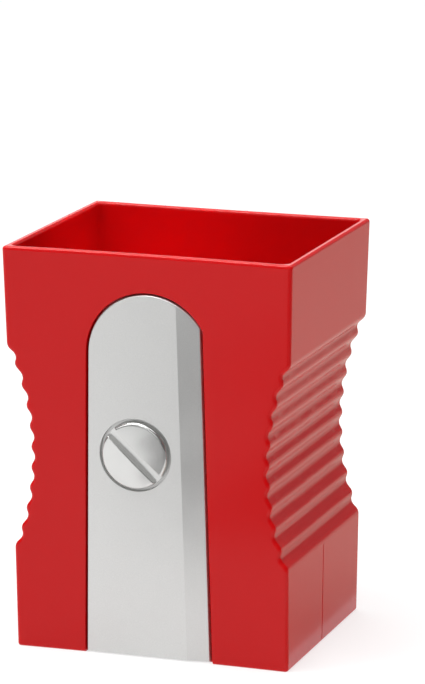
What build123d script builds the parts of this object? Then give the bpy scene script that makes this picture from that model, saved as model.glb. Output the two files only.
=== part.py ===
from build123d import *
import math
import os

# ---------------------------------------------------------------------------
# Desk pencil pot shaped like a wedge pencil sharpener (millimetres).
# Origin: centre of the bounding box at the resting plane. +Z up, -Y is the
# front, which carries the blade plate and its slotted screw.
# ---------------------------------------------------------------------------

# ---- overall shell ---------------------------------------------------------
height = 105.0
half_w_bottom = 36.26        # half width (X) at the resting plane
half_w_top = 37.98           # half width (X) at the rim
front_y_bottom = -28.85      # front corners, leaning out towards the rim
front_y_top = -34.37
back_y_bottom = 32.68
back_y_top = 34.40
front_bow_bottom = 0.60      # how far the middle of the front wall is drawn in
front_bow_top = 1.20
back_bow_bottom = 0.35         # the same for the back wall
back_bow_top = 0.70
wall = 2.00
corner_r = 0.95              # upright outer edges
inner_corner_r = 1.80
foot_r = 0.70                # outer bottom edge
rim_r = 0.85                 # both edges of the rim

# ---- ribbed waist on the two sides ----------------------------------------
waist_z = 53.20              # middle of the waist, which is also a ridge
waist_half = 26.38           # half the height of the waist
waist_sag = 5.39             # depth of the ridge line at the middle
lower_inset = 0.27           # side face inset at the waist's lower corner
upper_inset = 0.17           # side face inset at the waist's upper corner
ridge_steps = 5              # ridge spacings from the middle to each corner
rib_depth = 0.84             # ridge to valley at the middle
rib_depth_low = 0.94         # ridge to valley beside the lower corner
rib_depth_high = 1.05        # ridge to valley beside the upper corner
ridge_full = 0.41            # handle of a ridge, share of half a spacing
valley_full = 0.44           # handle of a valley, share of half a spacing
corner_lift = 0.42           # block corners sit this far inside the waist's ends
corner_turn = 0.79           # angle the profile turns through at a corner, radians
corner_arc = 2.50            # radius of that turn
corner_lead = 0.50           # handle from the turn towards the first valley
valley_lead = 0.72           # handle from that valley towards the turn
waist_core_sag = 5.90        # depth of the smooth inner waist
waist_core_half = 28.3

# ---- joint line up the middle of each side, below the ribs ----------------
seam_y = 0.60
seam_w = 0.60
seam_depth = 0.10

# ---- closing floor ---------------------------------------------------------
floor_low = 0.80
floor_top = 3.00
floor_rebate = 0.60          # how far the shell steps out to take the floor
floor_gap = 0.05

# ---- blade plate -----------------------------------------------------------
plate_y0 = -28.33            # plate face at Z = 0
plate_lean = -0.04638        # plate face: Y changes by this per mm of Z
plate_t = 2.20
arch_r = 15.77
arch_z = 79.04
left_bottom = -17.35
right_top_x, right_top_z = 13.70, 79.04
right_bottom = 15.26
bevel_top_x, bevel_top_z = 7.48, 92.90
bevel_bottom_x = 9.52
bevel_drop = 0.95            # bevel's drop at the right-hand edge
plate_edge_r = 0.35
plate_gap = 0.52             # open gap round the plate
plate_gap_right = 0.95       # wider beside the bevel, where the plate lies lower
plate_foot = 0.25            # plate's lower edge above the resting plane
back_wall = 2.00             # shell left behind the plate
pad_margin = 3.0
recess_edge_r = 0.20

# ---- screw and its nut -----------------------------------------------------
screw_x, screw_v = -3.64, 53.33
sink_r = 9.42                # round recess in the plate
sink_depth = 1.00
sink_lip_r = 0.15
head_r = 8.65
head_rim = 0.95              # head's rim above the plate face
head_dome = 0.55             # extra height in the middle
head_edge_r = 0.90
slot_w = 2.65
slot_depth = 1.85
slot_deg = -43.5
shank_r = 2.00
post_r = 3.00
post_hole_r = 3.10
post_flange_r = 6.00
post_flange_t = 1.50
post_slot_w, post_slot_depth = 1.2, 0.6
peg_r = 1.50
peg_hole_r = 1.55
peg_v = (13.0, 84.0)

plane_scale = math.sqrt(1.0 + plate_lean ** 2)


def edges_face(edges):
    return make_face(Wire(edges))


# Local frame of the plate: x along X, y up the leaning face, z outwards.
plate_plane = Plane(
    origin=(0, plate_y0, 0),
    x_dir=(1, 0, 0),
    z_dir=(0, -1 / plane_scale, plate_lean / plane_scale),
)


# ---------------------------------------------------------------------------
# Shell
# ---------------------------------------------------------------------------
def side_x(z):
    """Half width of the side face, without the waist."""
    lo, hi = waist_z - waist_half, waist_z + waist_half
    x_lo = half_w_bottom + (half_w_top - half_w_bottom) * lo / height - lower_inset
    x_hi = half_w_bottom + (half_w_top - half_w_bottom) * hi / height - upper_inset
    if z <= lo:
        return half_w_bottom + (x_lo - half_w_bottom) * z / lo
    if z >= hi:
        return x_hi + (half_w_top - x_hi) * (z - hi) / (height - hi)
    return x_lo + (x_hi - x_lo) * (z - lo) / (hi - lo)


waist_r = (waist_half ** 2 + waist_sag ** 2) / (2 * waist_sag)


def ridge_line(z):
    """Half width along the crests of the ribs."""
    t = z - waist_z
    return side_x(z) - (waist_sag - (waist_r - math.sqrt(waist_r ** 2 - t ** 2)))


def ridge_slope(z, d=0.01):
    return (ridge_line(z + d) - ridge_line(z - d)) / (2 * d)


pitch = waist_half / ridge_steps


def rib_points():
    """Knots of the ribbed profile from the lower corner to the upper one:
    (x, z, slope dx/dz, handle below, handle above)."""
    out = []
    last = 2 * ridge_steps - 1
    for k in range(-last, last + 1):
        z = waist_z + k * pitch / 2
        if k % 2:                                    # a valley
            share = abs(k) / (2 * ridge_steps)
            end = rib_depth_high if k > 0 else rib_depth_low
            deep = rib_depth + (end - rib_depth) * share ** 3
            h = valley_full * pitch / 2
            out.append((ridge_line(z) - deep, z, ridge_slope(z),
                        valley_lead if k == -last else h, valley_lead if k == last else h))
        else:                                        # a ridge
            h = ridge_full * pitch / 2
            out.append((ridge_line(z), z, ridge_slope(z), h, h))
    return out


def bez(a, b):
    """Curve between two knots, rising in z."""
    p0 = (a[0], 0, a[1])
    p3 = (b[0], 0, b[1])
    p1 = (a[0] + a[2] * a[4], 0, a[1] + a[4])
    p2 = (b[0] - b[2] * b[3], 0, b[1] - b[3])
    return Bezier(p0, p1, p2, p3)


def outer_profile(inset=0.0):
    """Front view of the pot; inset draws both sides in by that much."""
    lo, hi = waist_z - waist_half, waist_z + waist_half
    s_lo = (side_x(lo) - side_x(0)) / lo
    s_hi = (side_x(height) - side_x(hi)) / (height - hi)
    reach = corner_arc * math.tan(corner_turn / 2)
    grip = corner_arc * 4 / 3 * math.tan(corner_turn / 4)
    dx, dz = reach * math.sin(corner_turn), reach * math.cos(corner_turn)
    m, c = math.tan(corner_turn), math.cos(corner_turn)
    z_lo, z_hi = lo + corner_lift, hi - corner_lift
    x_lo, x_hi = side_x(lo - 0.1), side_x(hi + 0.1)
    z_a, z_b = z_lo - reach, z_hi + reach
    knots = [(side_x(0) + s_lo * z_a, z_a, s_lo, grip, grip),
             (x_lo - dx, z_lo + dz, -m, grip * c, corner_lead * c)]
    knots += rib_points()
    knots += [(x_hi - dx, z_hi - dz, m, corner_lead * c, grip * c),
              (side_x(height) - s_hi * (height - z_b), z_b, s_hi, grip, grip)]
    knots = [(k[0] - inset,) + k[1:] for k in knots]
    x_foot, x_rim = side_x(0) - inset, side_x(height) - inset
    right = [Line((x_foot, 0, 0), (knots[0][0], 0, z_a))]
    right += [bez(a, b) for a, b in zip(knots, knots[1:])]
    right += [Line((knots[-1][0], 0, z_b), (x_rim, 0, height))]
    left = [e.mirror(Plane.YZ) for e in right]
    top = Line((x_rim, 0, height), (-x_rim, 0, height))
    bottom = Line((x_foot, 0, 0), (-x_foot, 0, 0))
    return edges_face(right + left + [top, bottom])


def inner_side_x(z):
    return side_x(z) - wall


def inner_profile(top_z, bottom_z):
    lo, hi = waist_z - waist_core_half, waist_z + waist_core_half
    a = (inner_side_x(lo), lo)
    b = (inner_side_x(hi), hi)
    mid = ((a[0] + b[0]) / 2 - waist_core_sag, waist_z)
    top_x = inner_side_x(height) + (inner_side_x(height) - b[0]) / (height - hi) * (top_z - height)
    bot_x = inner_side_x(0) - (a[0] - inner_side_x(0)) / lo * (0 - bottom_z)
    right = [
        Line((bot_x, 0, bottom_z), (a[0], 0, a[1])),
        ThreePointArc((a[0], 0, a[1]), (mid[0], 0, mid[1]), (b[0], 0, b[1])),
        Line((b[0], 0, b[1]), (top_x, 0, top_z)),
    ]
    left = [e.mirror(Plane.YZ) for e in right]
    return edges_face(right + left + [
        Line((top_x, 0, top_z), (-top_x, 0, top_z)),
        Line((bot_x, 0, bottom_z), (-bot_x, 0, bottom_z)),
    ])


def front_y(z, share):
    """Y of the front wall; share 1 is the middle, 0 is the corner."""
    f = z / height
    return (front_y_bottom + (front_y_top - front_y_bottom) * f
            + (front_bow_bottom + (front_bow_top - front_bow_bottom) * f) * share)


def back_y(z, share):
    f = z / height
    return (back_y_bottom + (back_y_top - back_y_bottom) * f
            - (back_bow_bottom + (back_bow_top - back_bow_bottom) * f) * share)


def depth_section(z, inset, half=42.0):
    w = half_w_bottom + (half_w_top - half_w_bottom) * z / height
    edge = 1 - (half / w) ** 2
    f_mid, f_edge = front_y(z, 1) + inset, front_y(z, edge) + inset
    b_mid, b_edge = back_y(z, 1) - inset, back_y(z, edge) - inset
    return Wire([
        ThreePointArc((-half, f_edge, z), (0, f_mid, z), (half, f_edge, z)),
        Line((half, f_edge, z), (half, b_edge, z)),
        ThreePointArc((half, b_edge, z), (0, b_mid, z), (-half, b_edge, z)),
        Line((-half, b_edge, z), (-half, f_edge, z)),
    ])


def depth_solid(inset, z0=-6.0, z1=111.0):
    return Solid.make_loft([depth_section(z0, inset), depth_section(z1, inset)], True)


def prism_y(face, half=60.0):
    return extrude(face, amount=half, dir=(0, 1, 0), both=True)


def upright(edges, at_least=0.2):
    """Edges that climb, away from the middle of the part."""
    out = []
    for e in edges:
        bb = e.bounding_box()
        if bb.size.Z > at_least and bb.size.Y < 8 and abs(e.center().X) > 20:
            out.append(e)
    return out


outer = prism_y(outer_profile()) & depth_solid(0.0)
outer = outer.solids()[0]
outer = fillet(upright(outer.edges()), corner_r)
foot = [e for e in outer.edges() if e.bounding_box().max.Z < 0.01]
outer = fillet(foot, foot_r)

core = prism_y(inner_profile(height + 4, -4)) & depth_solid(wall)
core = core.solids()[0]
core = fillet(upright(core.edges()), inner_corner_r)



# ---------------------------------------------------------------------------
# Blade plate outline, in the plate's own plane (x, v)
# ---------------------------------------------------------------------------
def plate_outline(grow, foot_v, grow_right=None):
    """Closed outline: leaning left edge, round top, straight right edge that
    meets the arch at a corner. grow > 0 moves every edge outwards, and
    grow_right does so for the right-hand edge where it differs."""
    if grow_right is None:
        grow_right = grow
    r = arch_r + grow
    left_slope = (-arch_r - left_bottom) / arch_z
    lean_l = math.sqrt(1 + left_slope ** 2)
    tilt = math.atan(left_slope)
    # left edge is tangent to the arch
    tl = (-r * math.cos(tilt), arch_z + r * math.sin(tilt))
    bl = (tl[0] - left_slope * (tl[1] - foot_v), foot_v)
    slope = (right_bottom - right_top_x) / right_top_z
    off = grow_right * math.sqrt(1 + slope ** 2)
    xr = right_bottom + off                      # right edge at v = 0

    def x_right(v):
        return xr - slope * v

    # corner where the right edge meets the arch
    a = 1 + slope ** 2
    b = -2 * slope * (xr - slope * arch_z)
    c = (xr - slope * arch_z) ** 2 - r ** 2
    t = (-b + math.sqrt(b * b - 4 * a * c)) / (2 * a)
    tr = (x_right(arch_z + t), arch_z + t)
    br = (x_right(foot_v), foot_v)
    return edges_face([
        Line(bl, tl),
        ThreePointArc(tl, (0, arch_z + r), tr),
        Line(tr, br),
        Line(br, bl),
    ])


def on_plate(face, low, high):
    """Extrude a local outline between two heights above the plate's face."""
    solid = extrude(face, amount=high - low, dir=(0, 0, 1)).moved(Location((0, 0, low)))
    return plate_plane.location * solid


def disc(x, v, radius, low, high):
    local = Pos(x, v, (low + high) / 2) * Cylinder(radius, high - low)
    return plate_plane.location * local


# ---------------------------------------------------------------------------
# pot_body: tube of four walls with a ribbed waist, open at both ends
# ---------------------------------------------------------------------------
recess = on_plate(plate_outline(plate_gap, -8.0, plate_gap_right), -plate_t, 6.0)
outer = outer - recess
outer = outer.solids()[0]

# soft edge round the recess for the plate
lip = []
for e in outer.edges():
    bb = e.bounding_box()
    if bb.max.Y > plate_y0 + 0.9 or bb.min.Z < -0.01 or bb.size.Z < 1:
        continue
    c = e.center()
    if abs(c.X) < 19.5 and c.Z < 99:
        local = plate_plane.to_local_coords(c)
        if local.Z > -0.9:
            lip.append(e)
outer = fillet(lip, recess_edge_r)

shell = outer - core

pad_face = plate_outline(plate_gap + pad_margin, -8.0, plate_gap_right + pad_margin)
pad = extrude(pad_face, amount=plate_t + back_wall - 0.6, dir=(0, 0, 1))
pad = pad.moved(Location((0, 0, -(plate_t + back_wall))))
pad_low = [e for e in pad.edges() if e.bounding_box().max.Z < -(plate_t + back_wall) + 0.01
           and e.bounding_box().max.Y > 0]
pad = fillet(pad_low, 1.2)
pad = plate_plane.location * pad
pad = pad & (Pos(0, 0, height / 2) * Box(200, 200, height))
pot_body = shell + (pad - recess)
for v in peg_v:
    pot_body = pot_body - disc(screw_x, v, peg_hole_r, -plate_t - back_wall - 1, -plate_t + 1)
pot_body = pot_body - disc(screw_x, screw_v, post_hole_r, -plate_t - back_wall - 1, -plate_t + 1)

# rebate for the closing floor
pad_in_y = plate_y0 + (plate_t + back_wall) * plane_scale
rx = inner_side_x(0) + floor_rebate
ry_b = back_y(0, 1) - wall + floor_rebate
ry_f = front_y(0, 0.35) + wall - floor_rebate
px_l = left_bottom - plate_gap - pad_margin + floor_rebate
px_r = right_bottom + plate_gap_right + pad_margin - floor_rebate
py = pad_in_y - floor_rebate


def floor_outline(shrink):
    s = shrink
    pts = [(-rx + s, ry_f + s), (px_l - s, ry_f + s), (px_l - s, py + s), (px_r + s, py + s),
           (px_r + s, ry_f + s), (rx - s, ry_f + s), (rx - s, ry_b - s), (-rx + s, ry_b - s)]
    face = make_face(Polyline(*pts, close=True))
    return fillet(face.vertices(), 1.2)


rebate = extrude(floor_outline(0.0), amount=floor_top + 2).moved(Location((0, 0, -2)))
pot_body = pot_body - rebate
print("pot_body", len(pot_body.solids()), pot_body.is_valid, round(pot_body.volume))
pot_body = pot_body.solids().sort_by(SortBy.VOLUME)[-1]

rim = [e for e in pot_body.edges() if e.bounding_box().min.Z > height - 0.01]
pot_body = fillet(rim, rim_r)
print("rim ok", pot_body.is_valid)

# joint line left by the two halves of the mould, up to where the ribs start
seam_low, seam_high = foot_r + 0.1, waist_z - waist_half + corner_lift - 1.3
seam = Pos(0, seam_y, (seam_low + seam_high) / 2) * Box(100, seam_w, seam_high - seam_low)
pot_body = pot_body - (seam - prism_y(outer_profile(seam_depth)))
print("seam ok", pot_body.is_valid, len(pot_body.solids()))
pot_body = pot_body.solids().sort_by(SortBy.VOLUME)[-1]

# ---------------------------------------------------------------------------
# base_plate: the closing floor, let into the shell from below
# ---------------------------------------------------------------------------
base_plate = extrude(floor_outline(floor_gap), amount=floor_top - floor_low)
base_plate = base_plate.moved(Location((0, 0, floor_low)))
low = [e for e in base_plate.edges() if e.bounding_box().max.Z < floor_low + 0.01]
base_plate = fillet(low, 0.3)

# ---------------------------------------------------------------------------
# blade_plate: flush plate with a bevelled right-hand strip and two pegs
# ---------------------------------------------------------------------------
blank = extrude(plate_outline(0.0, plate_foot), amount=plate_t, dir=(0, 0, 1))
blank = blank.moved(Location((0, 0, -plate_t)))
bx, bv = bevel_top_x - bevel_bottom_x, bevel_top_z
bl = math.hypot(bx, bv)
d = Vector(bx / bl, bv / bl, 0)
p = Vector(bv / bl, -bx / bl, 0)
alpha = math.atan(bevel_drop / 6.3)
normal = Vector(0, 0, 1) * math.cos(alpha) + p * math.sin(alpha)
bevel_plane = Plane(origin=(bevel_bottom_x, 0, 0), x_dir=(d.X, d.Y, d.Z), z_dir=(normal.X, normal.Y, normal.Z))
cutter = bevel_plane.location * (Pos(50, -10, 3) * Box(140, 20, 6))
blank = blank - cutter

# rounded outer edge of the face, then the round recess for the screw
face_edges = []
for e in blank.edges():
    bb = e.bounding_box()
    c = e.center()
    if bb.min.Z < -bevel_drop - 0.15 or bb.max.Z < -bevel_drop - 0.15:
        continue
    on_crease = abs((c - Vector(bevel_bottom_x, 0, 0)).dot(p)) < 0.2
    if on_crease and e.length > 50:
        continue
    face_edges.append(e)
print("plate face edges", len(face_edges), [round(e.length, 1) for e in face_edges])
blank = fillet(face_edges, plate_edge_r)
print("plate fillet", blank.is_valid)
blank = blank - Pos(screw_x, screw_v, -sink_depth / 2 + 2) * Cylinder(sink_r, sink_depth + 4)
lip = [e for e in blank.edges() if e.geom_type == GeomType.CIRCLE and abs(e.radius - sink_r) < 0.01
       and e.arc_center.Z > -0.05]
blank = fillet(lip, sink_lip_r)
blank = blank - Pos(screw_x, screw_v, -plate_t / 2) * Cylinder(post_hole_r, plate_t + 2)
for v in peg_v:
    blank = blank + Pos(screw_x, v, -plate_t - back_wall / 2 + 0.1) * Cylinder(peg_r, back_wall - 0.2 + 0.4)
blade_plate = plate_plane.location * blank
print("blade_plate", blade_plate.is_valid, len(blade_plate.solids()), round(blade_plate.volume))

# ---------------------------------------------------------------------------
# blade_screw: wide domed head with a coin slot, on a short threaded shank
# ---------------------------------------------------------------------------
shank_end = -4.60
head_profile = edges_face([
    Line((0, 0, shank_end), (shank_r - 0.3, 0, shank_end)),
    Line((shank_r - 0.3, 0, shank_end), (shank_r, 0, shank_end + 0.3)),
    Line((shank_r, 0, shank_end + 0.3), (shank_r, 0, -sink_depth)),
    Line((shank_r, 0, -sink_depth), (head_r - 0.2, 0, -sink_depth)),
    Line((head_r - 0.2, 0, -sink_depth), (head_r, 0, -sink_depth + 0.2)),
    Line((head_r, 0, -sink_depth + 0.2), (head_r, 0, head_rim)),
    ThreePointArc((head_r, 0, head_rim),
                  (head_r / 2, 0, head_rim + head_dome * 0.7514), (0, 0, head_rim + head_dome)),
    Line((0, 0, head_rim + head_dome), (0, 0, shank_end)),
])
screw = revolve(head_profile, Axis.Z)
rim_edge = [e for e in screw.edges() if e.geom_type == GeomType.CIRCLE and abs(e.radius - head_r) < 0.01
            and abs(e.arc_center.Z - head_rim) < 0.05]
screw = fillet(rim_edge, head_edge_r)
slot_low = head_rim + head_dome - slot_depth
slot = Rot(0, 0, slot_deg) * Pos(0, 0, slot_low + 5) * Box(40, slot_w, 10)
screw = screw - slot
slot_edges = [e for e in screw.edges() if 12 < e.length < 18 and e.center().Z > head_rim + 0.1]
print("slot edges", [(round(e.length, 2), e.geom_type, round(e.center().Z, 2)) for e in slot_edges])
screw = fillet(slot_edges, 0.18)
print("screw", screw.is_valid, len(screw.solids()), round(screw.volume))
blade_screw = plate_plane.location * (Pos(screw_x, screw_v, 0) * screw)

# ---------------------------------------------------------------------------
# post_nut: barrel nut with a low flange, turned with a coin from inside
# ---------------------------------------------------------------------------
flange_low = -plate_t - back_wall - post_flange_t
post_profile = edges_face([
    Line((0, 0, flange_low), (post_flange_r - 0.9, 0, flange_low)),
    Line((post_flange_r - 0.9, 0, flange_low), (post_flange_r, 0, flange_low + 0.9)),
    Line((post_flange_r, 0, flange_low + 0.9), (post_flange_r, 0, -plate_t - back_wall)),
    Line((post_flange_r, 0, -plate_t - back_wall), (post_r, 0, -plate_t - back_wall)),
    Line((post_r, 0, -plate_t - back_wall), (post_r, 0, -sink_depth - 0.15)),
    Line((post_r, 0, -sink_depth - 0.15), (shank_r + 0.05, 0, -sink_depth - 0.15)),
    Line((shank_r + 0.05, 0, -sink_depth - 0.15), (shank_r + 0.05, 0, -4.8)),
    Line((shank_r + 0.05, 0, -4.8), (0, 0, -4.8)),
    Line((0, 0, -4.8), (0, 0, flange_low)),
])
post = revolve(post_profile, Axis.Z)
post = post - Pos(0, 0, flange_low) * Box(30, post_slot_w, 2 * 0.45)
post_nut = plate_plane.location * (Pos(screw_x, screw_v, 0) * post)
print("post", post.is_valid, len(post.solids()), round(post.volume))

os.makedirs("parts", exist_ok=True)
for name, shape in {
    "pot_body": pot_body,
    "base_plate": base_plate,
    "blade_plate": blade_plate,
    "blade_screw": blade_screw,
    "post_nut": post_nut,
}.items():
    solids = shape.solids()
    out = solids[0] if len(solids) == 1 else Compound(children=list(solids))
    export_step(out, f"parts/{name}.step")
    bb = out.bounding_box()
    print(name, len(solids), round(out.volume, 1), bb)
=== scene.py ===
import math

import bpy
import bmesh
from mathutils import Matrix, Vector

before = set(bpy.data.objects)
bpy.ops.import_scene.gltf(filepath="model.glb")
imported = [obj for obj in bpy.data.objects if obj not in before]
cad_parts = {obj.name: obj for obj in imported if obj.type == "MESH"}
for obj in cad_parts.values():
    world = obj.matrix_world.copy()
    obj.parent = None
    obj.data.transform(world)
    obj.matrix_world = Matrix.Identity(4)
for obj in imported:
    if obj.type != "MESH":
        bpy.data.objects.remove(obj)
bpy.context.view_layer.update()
scene = bpy.context.scene
scene.view_settings.view_transform = "Standard"
scene.view_settings.look = "None"
scene.view_settings.exposure = 0.0
scene.view_settings.gamma = 1.0


# ---------------------------------------------------------------------------
# camera
# ---------------------------------------------------------------------------
YAW, PITCH, ROLL = (math.radians(a) for a in (18.35892, 12.27290, 0.33788))
CAM = Vector((0.327819, -0.968697, 0.298786))
forward = Vector((-math.sin(YAW) * math.cos(PITCH), math.cos(YAW) * math.cos(PITCH), -math.sin(PITCH)))
right0 = Vector((math.cos(YAW), math.sin(YAW), 0.0))
up0 = right0.cross(forward)
right = math.cos(ROLL) * right0 + math.sin(ROLL) * up0
up = math.cos(ROLL) * up0 - math.sin(ROLL) * right0
cam_data = bpy.data.cameras.new("camera")
cam_data.sensor_width = 36.0
cam_data.lens = 4089.49 * 36.0 / 684.0
cam_data.clip_start = 0.02
cam_data.clip_end = 50.0
camera = bpy.data.objects.new("camera", cam_data)
scene.collection.objects.link(camera)
m = Matrix((
    (right.x, up.x, -forward.x, CAM.x),
    (right.y, up.y, -forward.y, CAM.y),
    (right.z, up.z, -forward.z, CAM.z),
    (0, 0, 0, 1),
))
camera.matrix_world = m
scene.camera = camera


# ---------------------------------------------------------------------------
# node helpers
# ---------------------------------------------------------------------------
def new_material(name):
    mat = bpy.data.materials.new(name)
    mat.use_nodes = True
    nt = mat.node_tree
    bsdf = next(n for n in nt.nodes if n.type == "BSDF_PRINCIPLED")
    return mat, nt, bsdf


def node(nt, kind, **values):
    n = nt.nodes.new(kind)
    for k, v in values.items():
        if k in n.inputs.keys():
            n.inputs[k].default_value = v
        else:
            setattr(n, k, v)
    return n


def noise(nt, coords, scale, detail=2.0, rough=0.5, stretch=(1, 1, 1)):
    mp = node(nt, "ShaderNodeMapping")
    mp.inputs["Scale"].default_value = stretch
    nt.links.new(coords, mp.inputs["Vector"])
    n = node(nt, "ShaderNodeTexNoise")
    n.inputs["Scale"].default_value = scale
    n.inputs["Detail"].default_value = detail
    n.inputs["Roughness"].default_value = rough
    nt.links.new(mp.outputs["Vector"], n.inputs["Vector"])
    return n.outputs["Fac"]


def ramp(nt, fac, stops):
    r = node(nt, "ShaderNodeValToRGB")
    el = r.color_ramp.elements
    el[0].position, el[0].color = stops[0]
    el[1].position, el[1].color = stops[-1]
    for pos, col in stops[1:-1]:
        e = el.new(pos)
        e.color = col
    nt.links.new(fac, r.inputs["Fac"])
    return r.outputs["Color"]


def bump(nt, height, strength, distance, normal=None):
    b = node(nt, "ShaderNodeBump")
    b.inputs["Strength"].default_value = strength
    b.inputs["Distance"].default_value = distance
    nt.links.new(height, b.inputs["Height"])
    if normal is not None:
        nt.links.new(normal, b.inputs["Normal"])
    return b.outputs["Normal"]


def math_node(nt, op, a, b=None, clamp=False):
    n = node(nt, "ShaderNodeMath", operation=op, use_clamp=clamp)
    for i, v in enumerate((a, b)):
        if v is None:
            continue
        if isinstance(v, (int, float)):
            n.inputs[i].default_value = v
        else:
            nt.links.new(v, n.inputs[i])
    return n.outputs[0]


# ---------------------------------------------------------------------------
# materials
# ---------------------------------------------------------------------------
def red_plastic(name, rough=(0.19, 0.22)):
    mat, nt, b = new_material(name)
    tc = node(nt, "ShaderNodeTexCoord").outputs["Object"]
    # slow drift of pigment, drawn out along the flow of the moulding
    drift = noise(nt, tc, 22.0, 3.0, 0.55, (1.0, 1.0, 0.22))
    col = ramp(nt, drift, [
        (0.25, (0.575, 0.0018, 0.0030, 1)),
        (0.50, (0.583, 0.0020, 0.0033, 1)),
        (0.75, (0.592, 0.0023, 0.0036, 1)),
    ])
    nt.links.new(col, b.inputs["Base Color"])
    patch = noise(nt, tc, 60.0, 4.0, 0.6)
    r = ramp(nt, patch, [(0.2, (rough[0],) * 3 + (1,)), (0.8, (rough[1],) * 3 + (1,))])
    nt.links.new(r, b.inputs["Roughness"])
    b.inputs["IOR"].default_value = 1.45
    b.inputs["Specular IOR Level"].default_value = 0.28
    # the walls are thin enough to let some red light through
    b.inputs["Subsurface Weight"].default_value = 0.38
    b.inputs["Subsurface Radius"].default_value = (1.0, 0.10, 0.08)
    b.inputs["Subsurface Scale"].default_value = 0.0020
    fine = noise(nt, tc, 1400.0, 2.0, 0.5)
    wave = noise(nt, tc, 45.0, 2.0, 0.5, (1.0, 1.0, 0.35))
    n1 = bump(nt, wave, 0.06, 0.0008)
    n2 = bump(nt, fine, 0.05, 0.00006, n1)
    nt.links.new(n2, b.inputs["Normal"])
    return mat


def silver_paint(name, tone=1.0, rough=(0.36, 0.42)):
    mat, nt, b = new_material(name)
    tc = node(nt, "ShaderNodeTexCoord").outputs["Object"]
    flake = noise(nt, tc, 5200.0, 2.0, 0.6)
    cloud = noise(nt, tc, 70.0, 3.0, 0.5)
    mixed = math_node(nt, "ADD", math_node(nt, "MULTIPLY", flake, 0.65), math_node(nt, "MULTIPLY", cloud, 0.35))
    col = ramp(nt, mixed, [
        (0.30, (0.615 * tone, 0.615 * tone, 0.605 * tone, 1)),
        (0.50, (0.658 * tone, 0.658 * tone, 0.648 * tone, 1)),
        (0.70, (0.708 * tone, 0.708 * tone, 0.698 * tone, 1)),
    ])
    nt.links.new(col, b.inputs["Base Color"])
    b.inputs["Metallic"].default_value = 0.75
    r = ramp(nt, cloud, [(0.3, (rough[0],) * 3 + (1,)), (0.7, (rough[1],) * 3 + (1,))])
    nt.links.new(r, b.inputs["Roughness"])
    n1 = bump(nt, flake, 0.06, 0.00003)
    nt.links.new(n1, b.inputs["Normal"])
    return mat


def plated(name):
    mat, nt, b = new_material(name)
    tc = node(nt, "ShaderNodeTexCoord").outputs["Object"]
    cloud = noise(nt, tc, 160.0, 3.0, 0.5)
    fine = noise(nt, tc, 2600.0, 2.0, 0.5)
    col = ramp(nt, cloud, [(0.3, (0.60, 0.60, 0.59, 1)), (0.7, (0.65, 0.65, 0.64, 1))])
    nt.links.new(col, b.inputs["Base Color"])
    b.inputs["Metallic"].default_value = 1.0
    r = ramp(nt, cloud, [(0.3, (0.20, 0.20, 0.20, 1)), (0.7, (0.26, 0.26, 0.26, 1))])
    nt.links.new(r, b.inputs["Roughness"])
    n1 = bump(nt, fine, 0.04, 0.00003)
    nt.links.new(n1, b.inputs["Normal"])
    return mat


def dress(obj, mat):
    obj.data.materials.clear()
    obj.data.materials.append(mat)
    for p in obj.data.polygons:
        p.material_index = 0


red = red_plastic("red_abs")
silver = silver_paint("silver_painted_abs")
nickel = plated("plated_screw")
dress(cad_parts["pot_body"], red)
dress(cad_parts["base_plate"], red)
dress(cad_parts["blade_plate"], silver)
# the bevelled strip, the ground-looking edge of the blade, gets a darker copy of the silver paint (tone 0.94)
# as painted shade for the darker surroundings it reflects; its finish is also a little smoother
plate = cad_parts["blade_plate"].data
plate.materials.append(silver_paint("silver_bevel_painted_shade", 0.94, (0.30, 0.36)))
# faces turned to the right and front take the darker, painted-shade copy
for poly in plate.polygons:
    if poly.normal.x > 0.10 and poly.normal.y < -0.97:
        poly.material_index = 1
dress(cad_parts["blade_screw"], nickel)
dress(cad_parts["post_nut"], nickel)


# ---------------------------------------------------------------------------
# floor
# ---------------------------------------------------------------------------
bpy.ops.mesh.primitive_plane_add(size=14.0, location=(0, 0, 0))
floor = bpy.context.active_object
floor.name = "floor"
fmat, fnt, fb = new_material("pale_floor")
ftc = node(fnt, "ShaderNodeTexCoord").outputs["Object"]
fcol = ramp(fnt, noise(fnt, ftc, 3.0, 2.0), [(0.3, (0.40, 0.40, 0.40, 1)), (0.7, (0.42, 0.42, 0.42, 1))])
fnt.links.new(fcol, fb.inputs["Base Color"])
fb.inputs["Roughness"].default_value = 0.9
fb.inputs["Specular IOR Level"].default_value = 0.1
fb.inputs["Emission Color"].default_value = (1.0, 1.0, 1.0, 1)
fb.inputs["Emission Strength"].default_value = 0.63
dress(floor, fmat)


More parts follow.
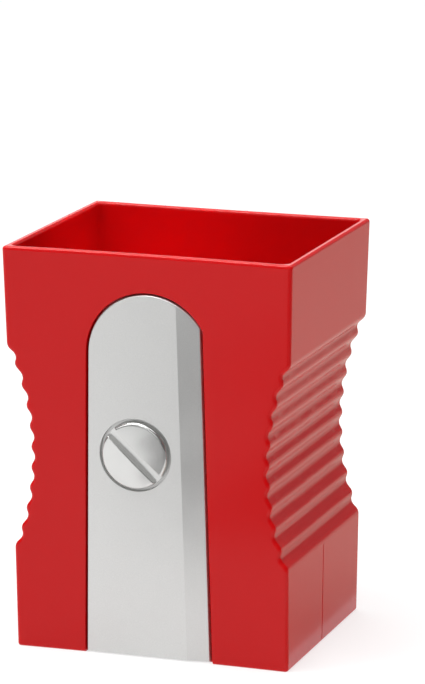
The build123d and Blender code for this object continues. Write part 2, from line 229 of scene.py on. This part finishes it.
def card(name, outline, tone, glow=0.0, bands=None, tint=(1.0, 1.0, 1.0)):
    """A studio card that only gloss sees: a flat sheet of one tone. It can have a light of its own,
    even all over (glow) or in level bands (bands: height in metres, strength)."""
    mesh = bpy.data.meshes.new(name)
    mesh.from_pydata(outline, [], [tuple(range(len(outline)))])
    obj = bpy.data.objects.new(name, mesh)
    scene.collection.objects.link(obj)
    mat, nt, b = new_material(name + "_paper")
    tc = node(nt, "ShaderNodeTexCoord").outputs["Object"]
    grain = noise(nt, tc, 40.0, 2.0)
    shades = [(pos, tuple(tone * k * c for c in tint) + (1,)) for pos, k in ((0.3, 0.97), (0.7, 1.03))]
    nt.links.new(ramp(nt, grain, shades), b.inputs["Base Color"])
    b.inputs["Roughness"].default_value = 0.9
    b.inputs["Specular IOR Level"].default_value = 0.1
    b.inputs["Emission Color"].default_value = tint + (1,)
    b.inputs["Emission Strength"].default_value = glow
    if bands:
        parts = node(nt, "ShaderNodeSeparateXYZ")
        nt.links.new(tc, parts.inputs[0])
        height = math_node(nt, "MULTIPLY", parts.outputs[2], 0.4)
        lit = [(pos * 0.4, tuple(v * c for c in tint) + (1,)) for pos, v in bands]
        nt.links.new(ramp(nt, height, lit), b.inputs["Emission Color"])
        b.inputs["Emission Strength"].default_value = 1.0
    dress(obj, mat)
    obj.visible_camera = False
    obj.visible_diffuse = False
    obj.visible_shadow = False
    obj.visible_transmission = False
    obj.visible_volume_scatter = False
    return obj


# a dark card in front and to the right, a warm grey one to the right and behind, a backdrop with a
# bright band behind to the left and dim behind the ribs, a darker card on the floor before that
# band, and a dim sheet high up in front
card("flag", [
    (-0.07, -0.95, 0.0015), (0.95, -0.95, 0.0015), (0.95, 0.06, 0.0015), (0.13, 0.06, 0.0015),
    (0.13, -0.114, 0.0015), (-0.03, -0.114, 0.0015), (-0.03, -0.22, 0.0015), (-0.07, -0.22, 0.0015)], 0.24)
card("grey", [
    (0.040, -0.06, 0.0005), (2.2, -0.06, 0.0005), (2.2, 2.3, 0.0005),
    (-0.6, 2.3, 0.0005), (-0.6, 0.06, 0.0005), (0.040, 0.06, 0.0005)],
    0.45, 0.17, None, (1.0, 0.97, 0.86))
card("backdrop_left", [
    (-2.6, 2.4, 0.0), (-0.45, 2.4, 0.0), (-0.45, 2.4, 2.2), (-2.6, 2.4, 2.2)],
    0.20, 0.0, [(0.0, 0.15), (0.30, 0.15), (0.60, 1.35), (1.10, 1.35), (1.40, 0.45), (2.2, 0.45)])
card("grey_left", [
    (-1.8, 0.6, 0.0012), (-0.12, 0.6, 0.0012), (-0.12, 2.38, 0.0012), (-1.8, 2.38, 0.0012)], 0.30)
card("backdrop_right", [
    (-0.45, 2.41, 0.0), (3.0, 2.41, 0.0), (3.0, 2.41, 2.2), (-0.45, 2.41, 2.2)],
    0.20, 0.12)
card("front_sheet", [
    (-2.6, -2.6, 0.9), (2.6, -2.6, 0.9), (2.6, -2.6, 2.5), (-2.6, -2.6, 2.5)],
    0.20, 0.45)


# ---------------------------------------------------------------------------
# light
# ---------------------------------------------------------------------------
world = bpy.data.worlds.new("studio")
scene.world = world
world.use_nodes = True
bg = next(n for n in world.node_tree.nodes if n.type == "BACKGROUND")
bg.inputs["Color"].default_value = (1.0, 1.0, 1.0, 1)
bg.inputs["Strength"].default_value = 0.10


def softbox(name, place, aim, size, power, size_y=None, colour=(1, 1, 1)):
    d = bpy.data.lights.new(name, "AREA")
    d.shape = "RECTANGLE"
    d.size = size
    d.size_y = size_y or size
    d.energy = power
    d.color = colour
    o = bpy.data.objects.new(name, d)
    scene.collection.objects.link(o)
    o.location = place
    o.rotation_mode = "QUATERNION"
    o.rotation_quaternion = (Vector(aim) - Vector(place)).to_track_quat("-Z", "Y")
    return o


softbox("top", (0.0, 0.5, 1.8), (0, 0.35, 0.0), 2.6, 46.0)
softbox("key_left", (-1.0, -1.0, 0.9), (0, 0, 0.05), 0.7, 3.0)
softbox("top_front", (-0.18, -0.22, 0.75), (0, 0, 0.10), 0.6, 3.4, 0.16)
mouth = softbox("mouth", (0.19, -0.16, 0.60), (-0.012, 0.008, 0.100), 0.038, 0.0105)
mouth.data.spread = math.radians(5.0)
softbox("front_fill", (0.10, -1.45, 0.60), (0, 0, 0.08), 0.9, 1.6)
